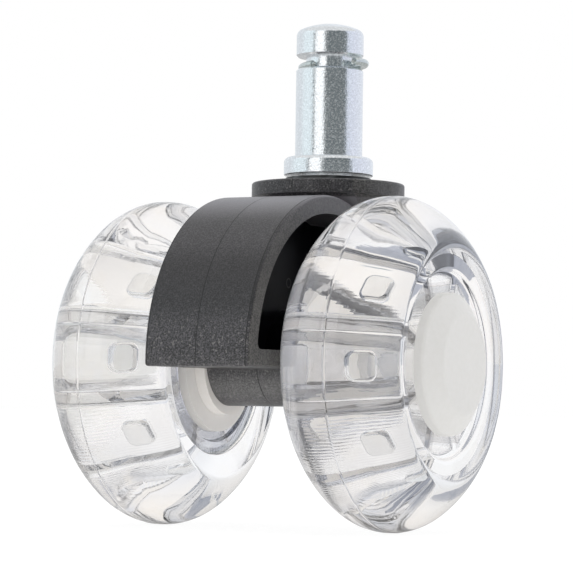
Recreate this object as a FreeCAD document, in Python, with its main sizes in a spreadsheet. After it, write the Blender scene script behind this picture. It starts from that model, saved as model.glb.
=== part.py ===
import FreeCAD, Part
import os
import re

import Sketcher
from FreeCAD import Placement, Rotation, Vector

# Twin-wheel hooded chair caster with a grip-neck stem. Millimetres.
# Origin: on the swivel axis, at the top face of the stem's collar. +Z is up.
# The wheels trail towards -X, and the axle runs along Y.
# Each wheel piece is drawn in its wheel's own frame: local Z is the axle's direction,
# pointing away from the hood, and local zero is the wheel's mid-plane.

SIZES = [
    ("stem_radius", 5.5, "pin that enters the chair's socket"),
    ("stem_length", 22, "pin, from the collar to the tip"),
    ("nose_edge", 1.2, "rounding between the pin's side and its domed end"),
    ("nose_dome", 12.0, "radius of the domed end"),
    ("grip_height", 14.5, "lower edge of the grip groove"),
    ("grip_width", 2.0, "grip groove"),
    ("grip_floor", 3.9, "radius at the bottom of the grip groove"),
    ("grip_edge", 0.3, "chamfer at the mouth of the grip groove"),
    ("ring_wire", 0.65, "half the thickness of the friction ring's wire"),
    ("ring_radius", 4.8, "centre line of the friction ring"),
    ("ring_shift", 0.25, "how far the loose ring hangs to one side"),
    ("ring_gap", 75, "opening of the friction ring, degrees"),
    ("ring_turn", 207, "direction that the opening faces, degrees"),
    ("collar_radius", 7.3, "collar of the stem"),
    ("collar_height", 3.0, "collar of the stem"),
    ("collar_crown", 0.9, "rounding of the collar's upper edge"),
    ("collar_edge", 0.2, "rounding of the collar's lower edge"),
    ("shaft_radius", 4.0, "swivel shaft below the collar"),
    ("shaft_depth", 27, "end of the shaft below the origin"),
    ("shaft_edge", 0.8, "chamfer at the shaft's end"),
    ("keeper_wire", 0.7, "half the thickness of the retaining ring's wire"),
    ("keeper_radius", 3.9, "centre line of the retaining ring"),
    ("keeper_floor", 2.6, "radius at the bottom of the retaining groove"),
    ("keeper_width", 1.8, "retaining groove"),
    ("keeper_gap", 30, "opening of the retaining ring, degrees"),
    ("running_gap", 0.05, "play between pieces that turn on each other"),
    ("disc_radius", 12.5, "disc on top of the housing"),
    ("disc_top", 4.3, "top face of the disc below the origin"),
    ("disc_height", 2.3, "disc on top of the housing"),
    ("disc_edge", 0.4, "rounding of the disc's top rim"),
    ("neck_end", 12.0, "where the neck meets the stem column"),
    ("column_radius", 8.7, "stem column between the side pockets"),
    ("bush_radius", 6.0, "swivel bush, outside"),
    ("bush_depth", 22, "lower end of the bush below the origin"),
    ("cavity_radius", 5.1, "room for the retaining ring"),
    ("cavity_depth", 28.6, "bottom of the stem's bore below the origin"),
    ("thrust_radius", 7.0, "thrust washer"),
    ("thrust_bore", 4.3, "thrust washer"),
    ("thrust_height", 0.9, "thrust washer"),
    ("trail_length", 16, "axle behind the swivel axis"),
    ("axle_drop", 34, "axle below the origin"),
    ("axle_radius", 3.0, "axle pin"),
    ("axle_reach", 9.2, "axle's end, outward of the wheel's mid-plane"),
    ("axle_edge", 0.5, "chamfer at the axle's ends"),
    ("hood_radius", 26.4, "outside of the hood, about the axle"),
    ("hood_half", 8.93, "half the width of the hood"),
    ("hood_skirt", 1.0, "lower edge of the hood below the axle"),
    ("hood_edge", 0.5, "rounding of the hood's outer edges"),
    ("window_radius", 23.5, "top of the side pockets, about the axle"),
    ("window_floor", 1.7, "floor of the side pockets above the axle"),
    ("window_corner", 1.0, "rounding of the pockets' lower corners"),
    ("web_half", 1.5, "half the thickness of the wall between the pockets"),
    ("boss_radius", 7.6, "axle boss"),
    ("boss_rise", 0.8, "centre of the boss above the axle"),
    ("wheel_offset", 20.35, "wheel's mid-plane from the swivel axis"),
    ("wheel_radius", 26.0, "tread at the crown"),
    ("crown_arc", 8.6, "radius of the tread's crown"),
    ("crown_turn", 34.2, "half the angle of the crown's arc, degrees"),
    ("flank_arc", 16.4, "radius of the tread's flanks"),
    ("flank_turn", 63.4, "angle where the flank ends, degrees"),
    ("shoulder_edge", 1.2, "rounding of the tread's shoulders"),
    ("bond_radius", 17.0, "where the tread meets the wheel centre"),
    ("bond_out", 9.0, "outer face of the wheel at the bond"),
    ("lip_radius", 14.6, "tread's lip on the inner face"),
    ("lip_face", 9.0, "inner face of the tread's lip"),
    ("moat_step", 14.3, "outer radius of the moat around the cap"),
    ("moat_rim", 14.7, "top of the moat's wall"),
    ("moat_face", 8.3, "floor of the moat around the cap"),
    ("wall_inside", 6.8, "inside of the wheel centre's outer wall"),
    ("seat_face", 7.3, "inner end of the wheel centre"),
    ("sleeve_radius", 6.0, "bore of the wheel centre"),
    ("pocket_inner", 8.5, "inside radius of the pockets"),
    ("pocket_outer", 14.0, "outside radius of the pockets"),
    ("pocket_corner", 0.7, "rounding of the pockets' upright corners"),
    ("rib_width", 1.4, "radial ribs"),
    ("rib_count", 8, "radial ribs"),
    ("key_half", 2.1, "half the length of the keying recess around the wheel"),
    ("key_low", -1.6, "inner edge of the keying recess"),
    ("key_high", 2.4, "outer edge of the keying recess"),
    ("key_corner", 0.7, "rounding of the keying recess"),
    ("key_depth", 0.5, "depth of the keying recess"),
    ("cap_socket", 7.5, "recess that holds the hub cap"),
    ("hub_end", 7.0, "outer end of the hub bush"),
    ("flange_radius", 10.9, "flange of the hub bush"),
    ("flange_face", 9.6, "inner face of the hub bush"),
    ("cover_face", 8.8, "inner face of the pockets' cover"),
    ("cover_dish", 8.3, "dished part of the pockets' cover"),
    ("dish_floor", 12.2, "outer radius of the dish's floor"),
    ("dish_rim", 12.6, "outer radius of the dish"),
    ("cap_radius", 11.0, "hub cap"),
    ("cap_shoulder", 9.8, "top of the cap's rim"),
    ("cap_plateau", 7.84, "flat of the cap"),
    ("cap_face", 11.9, "edge of the cap's flat"),
    ("cap_crown", 12.1, "middle of the cap"),
    ("cap_inside", 6.6, "hollow of the cap"),
    ("cap_ceiling", 10.6, "hollow of the cap"),
    ("cap_foot", 7.3, "end of the cap's skirt"),
    ("cap_edge", 0.7, "rounding of the cap's edges"),
    ("spacer_radius", 8.2, "washer between the boss and the hub"),
    ("washer_radius", 5.6, "washer outside the hub"),
    ("washer_height", 0.8, "washer outside the hub"),
    ("clip_radius", 5.4, "push-on clip"),
    ("clip_height", 0.35, "sheet thickness of the clip"),
    ("clip_rise", 0.7, "dishing of the clip"),
    ("clip_slot", 0.5, "half the width of the clip's slots"),
    ("clip_slots", 6, "slots of the clip"),
]

SIDES = {"left": 1, "right": -1}
SAME = 1e-4      # two lengths closer than this, in mm, are the same
ALONG = 0.9      # an edge whose unit direction exceeds this on an axis runs along it
NOSE_TURN = "acos((stem_radius - nose_edge) / (nose_dome - nose_edge))"
NOSE_HEIGHT = f"(nose_dome - (nose_dome - nose_edge) * sin({NOSE_TURN}))"
FLANK_X = "crown_arc * sin(crown_turn) + flank_arc * (sin(flank_turn) - sin(crown_turn))"
FLANK_Y = ("wheel_radius - crown_arc + crown_arc * cos(crown_turn)"
           " + flank_arc * (cos(flank_turn) - cos(crown_turn))")


def make_sheet(doc):
    """The sheet of driving dimensions, one row each: name, value, note."""
    sheet = doc.addObject("Spreadsheet::Sheet", "Sizes")
    for row, (alias, size, note) in enumerate(SIZES, start=1):
        sheet.set(f"A{row}", alias)
        sheet.set(f"B{row}", str(size))
        sheet.set(f"C{row}", note)
        sheet.setAlias(f"B{row}", alias)
    doc.recompute()
    return sheet


def bound(expression):
    """The expression with each size's name pointed at the sheet."""
    return re.sub(r"[a-z]+(?:_[a-z]+)+", lambda name: "Sizes." + name.group(), str(expression))


def number(owner, expression):
    """The expression's value now."""
    value = owner.evalExpression(bound(expression))
    return float(getattr(value, "Value", value))


def origin_part(body, role):
    """A plane or axis of the body's own origin."""
    return next(item for item in body.Origin.OriginFeatures if item.Role == role)


def new_body(doc, label):
    """An empty body with its own label."""
    body = doc.addObject("PartDesign::Body", label)
    body.Label = label
    return body


def new_sketch(body, name, plane, offset="0"):
    """A sketch on one of the body's origin planes, moved along its normal by offset."""
    sketch = body.newObject("Sketcher::SketchObject", name)
    sketch.AttachmentSupport = (origin_part(body, plane), [""])
    sketch.MapMode = "FlatFace"
    sketch.setExpression(".AttachmentOffset.Base.z", bound(offset))
    return sketch


def constrain(sketch, kind, where, expression):
    """Adds a dimension whose value follows the sheet."""
    index = sketch.addConstraint(Sketcher.Constraint(kind, *where, number(sketch, expression)))
    sketch.setExpression(f"Constraints[{index}]", bound(expression))


def arc_between(start, end, radius):
    """Arc from start to end: a positive radius turns left, a negative one turns right."""
    chord = end - start
    side = Vector(-chord.y, chord.x, 0).normalize()
    rise = (radius ** 2 - chord.Length ** 2 / 4) ** 0.5
    centre = (start + end) / 2 + side * rise * (1 if radius > 0 else -1)
    first, last = (start, end) if radius > 0 else (end, start)
    angles = [Vector(1, 0, 0).getAngle(point - centre) for point in (first, last)]
    signed = [a if (p - centre).y >= 0 else -a for a, p in zip(angles, (first, last))]
    return Part.ArcOfCircle(Part.Circle(centre, Vector(0, 0, 1), abs(radius)), *signed)


def outline(sketch, corners):
    """Closed outline through corners (across, up) or (across, up, radius of the arc to the next)."""
    points = [Vector(number(sketch, item[0]), number(sketch, item[1]), 0) for item in corners]
    ends = []
    for index, item in enumerate(corners):
        start = points[index]
        end = points[(index + 1) % len(points)]
        if len(item) == 2:
            sketch.addGeometry(Part.LineSegment(start, end))
            ends.append((1, 2))
        else:
            radius = number(sketch, item[2])
            sketch.addGeometry(arc_between(start, end, radius))
            ends.append((1, 2) if radius > 0 else (2, 1))
    for index in range(len(corners)):
        after = (index + 1) % len(corners)
        joint = Sketcher.Constraint("Coincident", index, ends[index][1], after, ends[after][0])
        sketch.addConstraint(joint)
    for index, item in enumerate(corners):
        corner = (-1, 1, index, ends[index][0])
        constrain(sketch, "DistanceX", corner, item[0])
        constrain(sketch, "DistanceY", corner, item[1])
        if len(item) == 3:
            constrain(sketch, "Radius", (index,), f"abs({item[2]})")


def circle(sketch, across, up, radius):
    """A circle at (across, up)."""
    centre = Vector(number(sketch, across), number(sketch, up), 0)
    sketch.addGeometry(Part.Circle(centre, Vector(0, 0, 1), number(sketch, radius)))
    constrain(sketch, "DistanceX", (-1, 1, 0, 3), across)
    constrain(sketch, "DistanceY", (-1, 1, 0, 3), up)
    constrain(sketch, "Radius", (0,), radius)


def turned(body, name, corners, kind="Revolution"):
    """Turns an outline (radius, height) about the body's Z axis, as material or as a groove."""
    sketch = new_sketch(body, name + "_outline", "XZ_Plane")
    outline(sketch, corners)
    feature = body.newObject("PartDesign::" + kind, name)
    feature.Profile = (sketch, [""])
    feature.ReferenceAxis = (sketch, ["V_Axis"])
    feature.Angle = 360
    body.Document.recompute()
    return feature


def through(body, name, sketch, width, kind="Pad"):
    """Pads or pockets a sketch by width, half to each side of its plane."""
    feature = body.newObject("PartDesign::" + kind, name)
    feature.Profile = (sketch, [""])
    feature.SideType = "Symmetric"
    feature.setExpression("Length", bound(width))
    body.Document.recompute()
    return feature


def finish_edges(body, name, kind, size, picks):
    """Fillets or chamfers the edges of the body's tip that picks accepts."""
    body.Document.recompute()
    tip = body.Tip
    edges = [f"Edge{index}" for index, edge in enumerate(tip.Shape.Edges, start=1)
             if not edge.Degenerated and picks(edge)]
    assert edges, f"{body.Label}: no edge for {name}"
    feature = body.newObject("PartDesign::" + kind, name)
    feature.Base = (tip, edges)
    feature.setExpression("Radius" if kind == "Fillet" else "Size", bound(size))
    body.Document.recompute()
    return feature


def rim(body, radius, height):
    """Accepts the body's circular edges of this radius at this local height."""
    wanted_radius = number(body, radius)
    wanted_height = number(body, height)

    def picks(edge):
        curve = edge.Curve
        if not isinstance(curve, Part.Circle):
            return False
        return abs(curve.Radius - wanted_radius) < SAME and abs(curve.Center.z - wanted_height) < SAME

    return picks


def runs_along(edge, direction):
    """Whether the edge is straight and follows this unit direction."""
    if not isinstance(edge.Curve, Part.Line):
        return False
    return abs(edge.tangentAt(edge.FirstParameter).dot(direction)) > ALONG


def place_at_wheel(item, side):
    """Puts a piece drawn in a wheel's own frame on that side's end of the axle."""
    item.Placement = Placement(Vector(), Rotation(Vector(1, 0, 0), -90 * SIDES[side]))
    item.setExpression(".Placement.Base.x", bound("-trail_length"))
    item.setExpression(".Placement.Base.y", bound(f"{SIDES[side]} * wheel_offset"))
    item.setExpression(".Placement.Base.z", bound("-axle_drop"))


# --- stem -------------------------------------------------------------------------------

def make_stem(doc):
    """Pin, grip groove, collar and the shaft that turns in the housing."""
    body = new_body(doc, "stem")
    keeper_low = "-(bush_depth + running_gap + 2 * keeper_wire)"
    turned(body, "turned_steel", [
        ("0", "-shaft_depth"),
        ("shaft_radius", "-shaft_depth"),
        ("shaft_radius", keeper_low),
        ("keeper_floor", keeper_low),
        ("keeper_floor", keeper_low + " + keeper_width"),
        ("shaft_radius", keeper_low + " + keeper_width"),
        ("shaft_radius", "-collar_height"),
        ("collar_radius", "-collar_height"),
        ("collar_radius", "0"),
        ("stem_radius", "0"),
        ("stem_radius", "grip_height"),
        ("grip_floor", "grip_height"),
        ("grip_floor", "grip_height + grip_width"),
        ("stem_radius", "grip_height + grip_width"),
        ("stem_radius", "stem_length - " + NOSE_HEIGHT, "nose_edge"),
        (f"stem_radius - nose_edge + nose_edge * cos({NOSE_TURN})",
         f"stem_length - {NOSE_HEIGHT} + nose_edge * sin({NOSE_TURN})", "nose_dome"),
        ("0", "stem_length"),
    ])
    low = rim(body, "stem_radius", "grip_height")
    high = rim(body, "stem_radius", "grip_height + grip_width")
    finish_edges(body, "grip_chamfer", "Chamfer", "grip_edge", lambda edge: low(edge) or high(edge))
    finish_edges(body, "collar_crowning", "Fillet", "collar_crown", rim(body, "collar_radius", "0"))
    finish_edges(body, "collar_rounding", "Fillet", "collar_edge",
                 rim(body, "collar_radius", "-collar_height"))
    finish_edges(body, "shaft_chamfer", "Chamfer", "shaft_edge",
                 rim(body, "shaft_radius", "-shaft_depth"))
    return body


def make_split_ring(doc, label, radius, wire, gap):
    """A round wire bent into an open ring. Its opening is the last stretch before local +X."""
    ring = doc.addObject("Part::Torus", label)
    ring.Label = label
    ring.setExpression("Radius1", bound(radius))
    ring.setExpression("Radius2", bound(wire))
    ring.setExpression("Angle3", bound(f"360 - {gap}"))
    return ring


def make_friction_ring(doc):
    """Grip ring, resting on the lower side of its groove and hanging to one side."""
    ring = make_split_ring(doc, "friction_ring", "ring_radius", "ring_wire", "ring_gap")
    ring.setExpression(".Placement.Rotation.Angle", bound("ring_turn + ring_gap / 2"))
    ring.setExpression(".Placement.Base.x", bound("ring_shift * sin(ring_turn) * -1"))
    ring.setExpression(".Placement.Base.y", bound("ring_shift * cos(ring_turn)"))
    ring.setExpression(".Placement.Base.z", bound("grip_height + ring_wire"))
    return ring


def make_retaining_ring(doc):
    """Ring under the bush that keeps the stem in the housing."""
    ring = make_split_ring(doc, "stem_retaining_ring", "keeper_radius", "keeper_wire", "keeper_gap")
    ring.setExpression(".Placement.Base.z", bound("-(bush_depth + running_gap + keeper_wire)"))
    return ring


# --- housing ----------------------------------------------------------------------------

def half_disc(sketch, radius, floor):
    """A disc about the axle, cut level at floor above the axle."""
    chord = f"sqrt(({radius}) ^ 2 - ({floor}) ^ 2)"
    middle = "-trail_length"
    outline(sketch, [
        (f"{middle} - {chord}", f"-axle_drop + {floor}"),
        (f"{middle} + {chord}", f"-axle_drop + {floor}", radius),
        (middle, f"-axle_drop + {radius}", radius),
    ])


def make_housing(doc):
    """Hood, side pockets, top disc, stem column and axle boss, moulded in one piece."""
    body = new_body(doc, "housing")
    skirt = new_sketch(body, "hood_outline", "XZ_Plane")
    half_disc(skirt, "hood_radius", "-hood_skirt")
    through(body, "hood", skirt, "2 * hood_half")
    round_hood_edges(body)
    window = new_sketch(body, "window_outline", "XZ_Plane")
    half_disc(window, "window_radius", "window_floor")
    through(body, "window", window, "4 * hood_half", "Pocket")
    round_window_corners(body)
    web = new_sketch(body, "web_outline", "XZ_Plane")
    half_disc(web, "(window_radius + hood_radius) / 2", "0")
    through(body, "web", web, "2 * web_half")
    turned(body, "column", [
        ("0", "-axle_drop"),
        ("column_radius", "-axle_drop"),
        ("column_radius", "-neck_end"),
        ("disc_radius - hood_edge", "-(disc_top + disc_height)"),
        ("disc_radius", "-(disc_top + disc_height)"),
        ("disc_radius", "-disc_top"),
        ("0", "-disc_top"),
    ])
    finish_edges(body, "disc_rounding", "Fillet", "disc_edge", rim(body, "disc_radius", "-disc_top"))
    boss = new_sketch(body, "boss_outline", "XZ_Plane")
    circle(boss, "-trail_length", "-axle_drop + boss_rise", "boss_radius")
    through(body, "boss", boss, "2 * hood_half")
    turned(body, "stem_bore", [
        ("0", "-cavity_depth"),
        ("cavity_radius", "-cavity_depth"),
        ("cavity_radius", "-bush_depth"),
        ("bush_radius", "-bush_depth"),
        ("bush_radius", "-disc_top"),
        ("0", "-disc_top"),
    ], "Groove")
    axle = new_sketch(body, "axle_outline", "XZ_Plane")
    circle(axle, "-trail_length", "-axle_drop", "axle_radius")
    through(body, "axle_bore", axle, "4 * hood_half", "Pocket")
    return body


def round_window_corners(body):
    """Rounds the two lower corners of the side pockets."""
    floor = number(body, "-axle_drop + window_floor")

    def picks(edge):
        level = all(abs(vertex.Point.z - floor) < SAME for vertex in edge.Vertexes)
        return level and runs_along(edge, Vector(0, 1, 0))

    finish_edges(body, "window_rounding", "Fillet", "window_corner", picks)


def round_hood_edges(body):
    """Rounds every outer edge of the hood."""
    finish_edges(body, "hood_rounding", "Fillet", "hood_edge", lambda edge: True)


def make_thrust_washer(doc):
    """Washer lying on the disc, under the stem's collar."""
    body = new_body(doc, "thrust_washer")
    turned(body, "washer", [
        ("thrust_bore", "-disc_top"),
        ("thrust_radius", "-disc_top"),
        ("thrust_radius", "-disc_top + thrust_height"),
        ("thrust_bore", "-disc_top + thrust_height"),
    ])
    return body


def make_swivel_bush(doc):
    """Sleeve in the housing that the stem's shaft turns in."""
    body = new_body(doc, "swivel_bush")
    turned(body, "sleeve", [
        ("shaft_radius + running_gap", "-bush_depth"),
        ("bush_radius", "-bush_depth"),
        ("bush_radius", "-disc_top"),
        ("shaft_radius + running_gap", "-disc_top"),
    ])
    return body


def make_axle_pin(doc):
    """Plain steel pin, pressed through the boss."""
    body = new_body(doc, "axle_pin")
    half = "wheel_offset + axle_reach"
    turned(body, "pin", [
        ("0", f"-({half})"),
        ("axle_radius", f"-({half})"),
        ("axle_radius", half),
        ("0", half),
    ])
    low = rim(body, "axle_radius", f"-({half})")
    high = rim(body, "axle_radius", half)
    finish_edges(body, "pin_chamfer", "Chamfer", "axle_edge", lambda edge: low(edge) or high(edge))
    body.Placement = Placement(Vector(), Rotation(Vector(1, 0, 0), 90))
    body.setExpression(".Placement.Base.x", bound("-trail_length"))
    body.setExpression(".Placement.Base.z", bound("-axle_drop"))
    return body


def make_inner_washer(doc, side):
    """Spacer between the boss and the hub's flange."""
    body = new_body(doc, side + "_inner_washer")
    turned(body, "washer", [
        ("axle_radius", "hood_half - wheel_offset"),
        ("spacer_radius", "hood_half - wheel_offset"),
        ("spacer_radius", "-(flange_face + running_gap)"),
        ("axle_radius", "-(flange_face + running_gap)"),
    ])
    place_at_wheel(body, side)
    return body


def make_outer_washer(doc, side):
    """Washer between the hub's outer end and the clip."""
    body = new_body(doc, side + "_outer_washer")
    turned(body, "washer", [
        ("axle_radius", "hub_end + running_gap"),
        ("washer_radius", "hub_end + running_gap"),
        ("washer_radius", "hub_end + running_gap + washer_height"),
        ("axle_radius", "hub_end + running_gap + washer_height"),
    ])
    place_at_wheel(body, side)
    return body


def make_axle_clip(doc, side):
    """Dished push-on clip with slotted fingers that grip the axle."""
    body = new_body(doc, side + "_axle_clip")
    foot = "hub_end + running_gap + washer_height"
    turned(body, "dish", [
        ("clip_radius", foot),
        ("clip_radius", f"{foot} + clip_height"),
        ("axle_radius", f"{foot} + clip_height + clip_rise"),
        ("axle_radius", f"{foot} + clip_rise"),
        ("clip_radius - clip_rise", foot),
    ])
    slot = new_sketch(body, "slot_outline", "XY_Plane")
    outline(slot, [
        ("0", "-clip_slot"),
        ("(axle_radius + clip_radius) / 2", "-clip_slot"),
        ("(axle_radius + clip_radius) / 2", "clip_slot"),
        ("0", "clip_slot"),
    ])
    cut = through(body, "slot", slot, "4 * hub_end", "Pocket")
    repeat_around(body, cut, "slots", "clip_slots")
    place_at_wheel(body, side)
    return body


def repeat_around(body, feature, name, count):
    """Repeats a feature evenly about the body's Z axis."""
    pattern = body.newObject("PartDesign::PolarPattern", name)
    pattern.Originals = [feature]
    pattern.Axis = (origin_part(body, "Z_Axis"), [""])
    pattern.Angle = 360
    pattern.setExpression("Occurrences", bound(count))
    body.Tip = pattern
    body.Document.recompute()
    return pattern


# --- wheels -----------------------------------------------------------------------------

def make_tyre(doc, side):
    """Soft clear tread, wrapped over the wheel centre's rim and inner edge."""
    body = new_body(doc, side + "_tyre")
    turned(body, "tread", [
        ("bond_radius", "bond_out"),
        ("bond_radius", "-seat_face"),
        ("lip_radius", "-seat_face"),
        ("lip_radius", "-lip_face"),
        (FLANK_Y, f"-({FLANK_X})", "flank_arc"),
        ("wheel_radius - crown_arc + crown_arc * cos(crown_turn)",
         "-crown_arc * sin(crown_turn)", "crown_arc"),
        ("wheel_radius - crown_arc + crown_arc * cos(crown_turn)",
         "crown_arc * sin(crown_turn)", "flank_arc"),
        (FLANK_Y, FLANK_X),
    ])
    inner = rim(body, FLANK_Y, f"-({FLANK_X})")
    outer = rim(body, FLANK_Y, FLANK_X)
    finish_edges(body, "shoulders", "Fillet", "shoulder_edge", lambda edge: inner(edge) or outer(edge))
    place_at_wheel(body, side)
    return body


def make_wheel_core(doc, side):
    """Clear wheel centre: sleeve, ribs, rim and outer wall, open on its inner side."""
    body = new_body(doc, side + "_wheel_core")
    turned(body, "blank", [
        ("sleeve_radius", "-seat_face"),
        ("bond_radius", "-seat_face"),
        ("bond_radius", "bond_out"),
        ("moat_rim", "bond_out"),
        ("moat_step", "moat_face"),
        ("cap_socket", "moat_face"),
        ("cap_socket", "hub_end"),
        ("sleeve_radius", "hub_end"),
    ])
    pocket = new_sketch(body, "pocket_outline", "XY_Plane", "-seat_face")
    corner = {}
    for radius in ("pocket_inner", "pocket_outer"):
        half = f"(180 / rib_count - asin(rib_width / (2 * {radius})) / 1 deg)"
        corner[radius] = (f"{radius} * cos({half})", f"{radius} * sin({half})")
    inner_x, inner_y = corner["pocket_inner"]
    outer_x, outer_y = corner["pocket_outer"]
    outline(pocket, [
        (inner_x, f"-{inner_y}"),
        (outer_x, f"-{outer_y}", "pocket_outer"),
        (outer_x, outer_y),
        (inner_x, inner_y, "-pocket_inner"),
    ])
    cut_inward(body, "pocket", pocket, "seat_face + wall_inside")
    repeat_around(body, body.Tip, "pockets", "rib_count")
    round_pocket_corners(body)
    key = new_sketch(body, "key_outline", "YZ_Plane", "pocket_inner + rib_width")
    rounded_box(key, "key_half", "key_low", "key_high", "key_corner")
    cut_inward(body, "key", key, "pocket_outer + key_depth - (pocket_inner + rib_width)")
    repeat_around(body, body.Tip, "keys", "rib_count")
    place_at_wheel(body, side)
    return body


def cut_inward(body, name, sketch, depth):
    """Cuts a sketch to this depth, along its plane's normal."""
    cut = body.newObject("PartDesign::Pocket", name)
    cut.Profile = (sketch, [""])
    cut.setExpression("Length", bound(depth))
    cut.Reversed = True
    body.Document.recompute()
    return cut


def rounded_box(sketch, half, low, high, corner):
    """A box between -half and half across, low and high up, with round corners."""
    outline(sketch, [
        (f"-{half} + {corner}", low),
        (f"{half} - {corner}", low, corner),
        (half, f"{low} + {corner}"),
        (half, f"{high} - {corner}", corner),
        (f"{half} - {corner}", high),
        (f"-{half} + {corner}", high, corner),
        (f"-{half}", f"{high} - {corner}"),
        (f"-{half}", f"{low} + {corner}", corner),
    ])


def round_pocket_corners(body):
    """Rounds the upright corners of the wheel centre's pockets."""
    finish_edges(body, "pocket_rounding", "Fillet", "pocket_corner",
                 lambda edge: runs_along(edge, Vector(0, 0, 1)))


def make_core_cover(doc, side):
    """Clear disc that closes the pockets on the inner side."""
    body = new_body(doc, side + "_core_cover")
    turned(body, "disc", [
        ("flange_radius", "-cover_dish"),
        ("dish_floor", "-cover_dish"),
        ("dish_rim", "-cover_face"),
        ("lip_radius", "-cover_face"),
        ("lip_radius", "-seat_face"),
        ("flange_radius", "-seat_face"),
    ])
    place_at_wheel(body, side)
    return body


def make_hub_bush(doc, side):
    """White flanged sleeve that runs on the axle."""
    body = new_body(doc, side + "_hub_bush")
    turned(body, "sleeve", [
        ("axle_radius + running_gap", "-flange_face"),
        ("flange_radius", "-flange_face"),
        ("flange_radius", "-seat_face"),
        ("sleeve_radius", "-seat_face"),
        ("sleeve_radius", "hub_end"),
        ("axle_radius + running_gap", "hub_end"),
    ])
    place_at_wheel(body, side)
    return body


def make_hub_cap(doc, side):
    """White hollow cap, plugged into the outer wall by its skirt."""
    body = new_body(doc, side + "_hub_cap")
    turned(body, "cap", [
        ("0", "cap_ceiling"),
        ("cap_inside", "cap_ceiling"),
        ("cap_inside", "cap_foot"),
        ("cap_socket", "cap_foot"),
        ("cap_socket", "moat_face"),
        ("cap_radius", "moat_face"),
        ("cap_radius", "cap_shoulder"),
        ("cap_plateau", "cap_face"),
        ("0", "cap_crown"),
    ])
    edge = rim(body, "cap_radius", "cap_shoulder")
    crease = rim(body, "cap_plateau", "cap_face")
    finish_edges(body, "cap_rounding", "Fillet", "cap_edge", lambda item: edge(item) or crease(item))
    place_at_wheel(body, side)
    return body


# --- assembly ---------------------------------------------------------------------------

def make_all(doc):
    """Every piece of the caster."""
    make_sheet(doc)
    pieces = [
        make_stem(doc),
        make_friction_ring(doc),
        make_retaining_ring(doc),
        make_housing(doc),
        make_thrust_washer(doc),
        make_swivel_bush(doc),
        make_axle_pin(doc),
    ]
    makers = [make_inner_washer, make_outer_washer, make_axle_clip, make_tyre,
              make_wheel_core, make_core_cover, make_hub_bush, make_hub_cap]
    for side in SIDES:
        pieces.extend(maker(doc, side) for maker in makers)
    doc.recompute()
    return pieces


def check(doc, pieces):
    """Stops unless every object is up to date and every piece is one valid solid."""
    for item in doc.Objects:
        failed = {"Invalid", "Error"} & set(item.State)
        assert not failed, f"{item.Label}: {sorted(failed)}"
    for piece in pieces:
        shape = piece.Shape
        assert not shape.isNull() and shape.isValid(), f"{piece.Label}: bad shape"
        assert len(shape.Solids) == 1, f"{piece.Label}: {len(shape.Solids)} solids"


def write(pieces):
    """One STEP file for each piece, named after it."""
    os.makedirs("parts", exist_ok=True)
    for piece in pieces:
        piece.Shape.exportStep(f"parts/{piece.Label}.step")
        print(piece.Label, round(piece.Shape.Volume, 1), "mm3")


document = FreeCAD.newDocument("caster")
all_pieces = make_all(document)
check(document, all_pieces)
write(all_pieces)
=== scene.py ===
import math
from collections import namedtuple

import bmesh
import bpy
from mathutils import Matrix, Quaternion, Vector


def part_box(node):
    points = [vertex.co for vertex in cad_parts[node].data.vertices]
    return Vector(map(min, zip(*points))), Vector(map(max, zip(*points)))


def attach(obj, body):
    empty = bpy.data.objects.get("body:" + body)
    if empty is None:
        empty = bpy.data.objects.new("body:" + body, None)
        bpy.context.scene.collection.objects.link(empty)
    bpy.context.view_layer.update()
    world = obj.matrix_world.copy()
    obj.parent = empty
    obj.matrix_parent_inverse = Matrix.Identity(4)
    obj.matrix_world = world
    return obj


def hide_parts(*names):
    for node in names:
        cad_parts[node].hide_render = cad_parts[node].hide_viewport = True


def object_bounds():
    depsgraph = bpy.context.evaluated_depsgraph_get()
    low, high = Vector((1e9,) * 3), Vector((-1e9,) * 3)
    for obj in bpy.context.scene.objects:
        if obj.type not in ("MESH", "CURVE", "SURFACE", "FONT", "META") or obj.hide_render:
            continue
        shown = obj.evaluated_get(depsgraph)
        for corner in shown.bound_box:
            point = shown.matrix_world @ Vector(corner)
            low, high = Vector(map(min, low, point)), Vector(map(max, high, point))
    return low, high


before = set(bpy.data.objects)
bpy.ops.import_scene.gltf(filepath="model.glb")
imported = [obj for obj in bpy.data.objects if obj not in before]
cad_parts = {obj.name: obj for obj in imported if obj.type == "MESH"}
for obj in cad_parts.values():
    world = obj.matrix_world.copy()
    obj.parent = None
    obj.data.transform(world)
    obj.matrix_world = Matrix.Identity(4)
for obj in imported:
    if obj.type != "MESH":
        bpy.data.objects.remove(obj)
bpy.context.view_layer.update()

# Metres, in the part's frame: the origin is on the swivel axis at the top face of the collar.
# Each wheel piece is made in its wheel's own frame, with Z outward along the axle, then moved.

MM = 0.001
CORNER_STEPS = 8                 # points along a rounded corner
ARC_STEPS = 24                   # points along one arc of the tread
BEVEL_STEPS = 6                  # faces across a cutter's rounded edge
SEGMENTS = 240                   # points around a turned piece
SHARP = math.radians(28)         # edges that turn by more than this stay sharp
SIDES = {"left": 1, "right": -1}
CLEAR, JOINED = 0, 1             # material slots of the clear pieces
GAP = 0.03 * MM                  # air left around the pockets' cover
CLOSE = 0.03 * MM                # points this close to a plane count as lying on it

# Tread
CROWN_ARC = 8.6 * MM
CROWN_TURN = math.radians(34.2)
FLANK_ARC = 16.4 * MM
FLANK_TURN = math.radians(63.4)
SHOULDER = 1.2 * MM              # rounding of the shoulders
LIP = 0.2 * MM                   # rounding of the inner mouth
SEAM_OFFSET = 1.0 * MM           # the mould's seam, outward of the middle
SEAM_HALF = 0.12 * MM
SEAM_RISE = 0.04 * MM

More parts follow.
